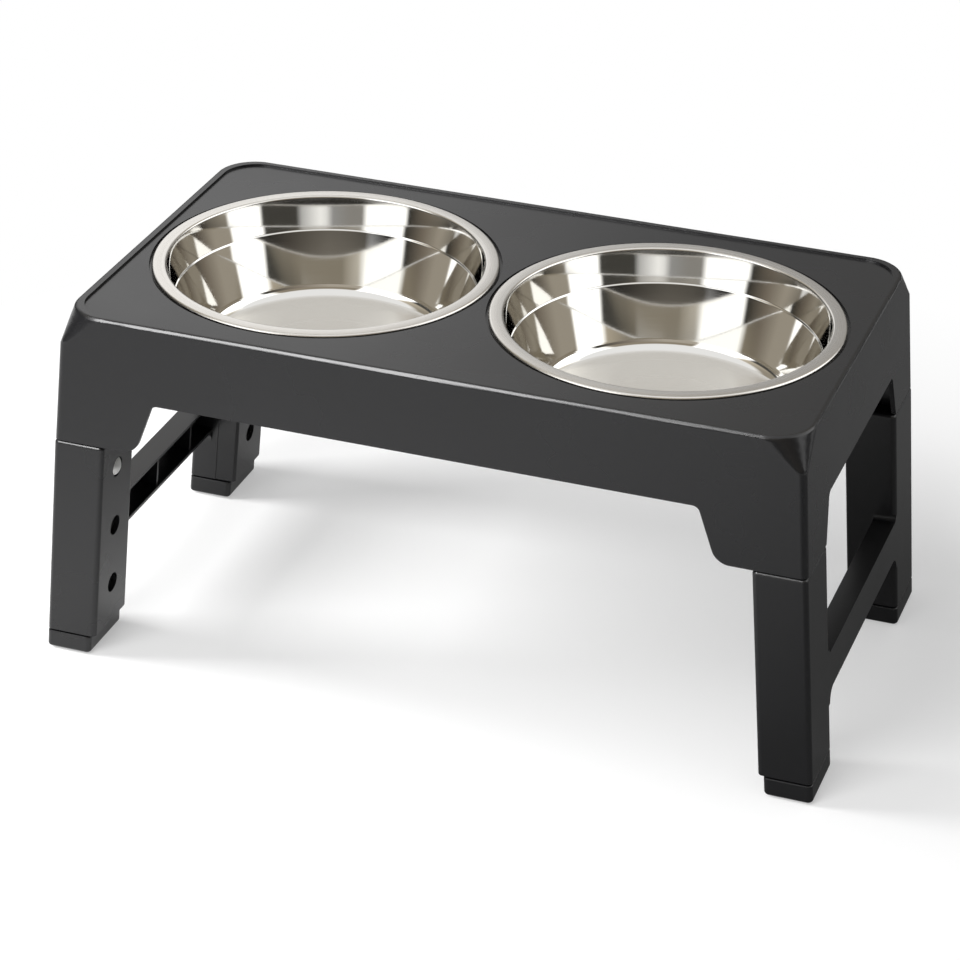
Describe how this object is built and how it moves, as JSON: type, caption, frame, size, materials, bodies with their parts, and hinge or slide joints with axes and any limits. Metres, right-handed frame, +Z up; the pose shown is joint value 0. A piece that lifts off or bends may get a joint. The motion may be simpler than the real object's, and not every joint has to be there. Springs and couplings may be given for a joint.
{
  "type": "adjustable dog bowl stand",
  "caption": "Raised pet feeder: a moulded table with lift-out steel bowls on folding leg frames whose legs extend in steps held by snap buttons.",
  "frame": {"origin": "centre of the stand on the floor, under the middle of the table", "axes": "+X along the table's length, +Y from front to back, +Z up"},
  "size_m": [0.4626, 0.2454, 0.2194],
  "materials": {
    "table_plastic": "satin moulded black plastic",
    "leg_plastic": "satin moulded black plastic",
    "bowl_steel": "polished inside, satin rim and base",
    "pin_steel": "plain turned steel",
    "spring_steel": "plain spring strip",
    "button_steel": "bright steel dome",
    "pad_rubber": "matte black rubber"
  },
  "bodies": {
    "table": {"tabletop_shell": "table_plastic", "left_front_hinge_pin": "pin_steel", "left_rear_hinge_pin": "pin_steel", "right_front_hinge_pin": "pin_steel", "right_rear_hinge_pin": "pin_steel"},
    "left_bowl": {"left_bowl": "bowl_steel"},
    "right_bowl": {"right_bowl": "bowl_steel"},
    "left_leg_frame": {"left_leg_frame": "leg_plastic"},
    "left_front_extension": {"left_front_extension_leg": "leg_plastic", "left_front_foot_pad": "pad_rubber", "left_front_snap_clip": "spring_steel"},
    "left_front_button": {"left_front_snap_button": "button_steel"},
    "left_rear_extension": {"left_rear_extension_leg": "leg_plastic", "left_rear_foot_pad": "pad_rubber", "left_rear_snap_clip": "spring_steel"},
    "left_rear_button": {"left_rear_snap_button": "button_steel"},
    "right_leg_frame": {"right_leg_frame": "leg_plastic"},
    "right_front_extension": {"right_front_extension_leg": "leg_plastic", "right_front_foot_pad": "pad_rubber", "right_front_snap_clip": "spring_steel"},
    "right_front_button": {"right_front_snap_button": "button_steel"},
    "right_rear_extension": {"right_rear_extension_leg": "leg_plastic", "right_rear_foot_pad": "pad_rubber", "right_rear_snap_clip": "spring_steel"},
    "right_rear_button": {"right_rear_snap_button": "button_steel"}
  },
  "joints": [
    {"name": "left_frame_fold", "type": "hinge", "parent": "table", "child": "left_leg_frame", "pos_m": [-0.18247, 0, 0.17416], "axis": [0, 1, 0], "range_deg": [-94.9, 0]},
    {"name": "left_bowl_lift", "type": "slide", "parent": "table", "child": "left_bowl", "axis": [0, 0, 1], "range_m": [0, 0.08]},
    {"name": "left_front_extension_slide", "type": "slide", "parent": "left_leg_frame", "child": "left_front_extension", "axis": [-0.0854, 0, -0.9963], "range_m": [0, 0.0782], "deforming": ["left_front_snap_button"]},
    {"name": "left_front_button_press", "type": "slide", "parent": "left_front_extension", "child": "left_front_button", "axis": [-0.9963, 0, 0.0854], "range_m": [0, 0.0045], "stiffness_N_per_m": 300, "deforming": ["left_front_snap_clip"]},
    {"name": "left_rear_extension_slide", "type": "slide", "parent": "left_leg_frame", "child": "left_rear_extension", "axis": [-0.0854, 0, -0.9963], "range_m": [0, 0.0782], "deforming": ["left_rear_snap_button"]},
    {"name": "left_rear_button_press", "type": "slide", "parent": "left_rear_extension", "child": "left_rear_button", "axis": [-0.9963, 0, 0.0854], "range_m": [0, 0.0045], "stiffness_N_per_m": 300, "deforming": ["left_rear_snap_clip"]},
    {"name": "right_frame_fold", "type": "hinge", "parent": "table", "child": "right_leg_frame", "pos_m": [0.18247, 0, 0.17416], "axis": [0, -1, 0], "range_deg": [-94.9, 0]},
    {"name": "right_bowl_lift", "type": "slide", "parent": "table", "child": "right_bowl", "axis": [0, 0, 1], "range_m": [0, 0.08]},
    {"name": "right_front_extension_slide", "type": "slide", "parent": "right_leg_frame", "child": "right_front_extension", "axis": [0.0854, 0, -0.9963], "range_m": [0, 0.0782], "deforming": ["right_front_snap_button"]},
    {"name": "right_front_button_press", "type": "slide", "parent": "right_front_extension", "child": "right_front_button", "axis": [0.9963, 0, 0.0854], "range_m": [0, 0.0045], "stiffness_N_per_m": 300, "deforming": ["right_front_snap_clip"]},
    {"name": "right_rear_extension_slide", "type": "slide", "parent": "right_leg_frame", "child": "right_rear_extension", "axis": [0.0854, 0, -0.9963], "range_m": [0, 0.0782], "deforming": ["right_rear_snap_button"]},
    {"name": "right_rear_button_press", "type": "slide", "parent": "right_rear_extension", "child": "right_rear_button", "axis": [0.9963, 0, 0.0854], "range_m": [0, 0.0045], "stiffness_N_per_m": 300, "deforming": ["right_rear_snap_clip"]}
  ]
}
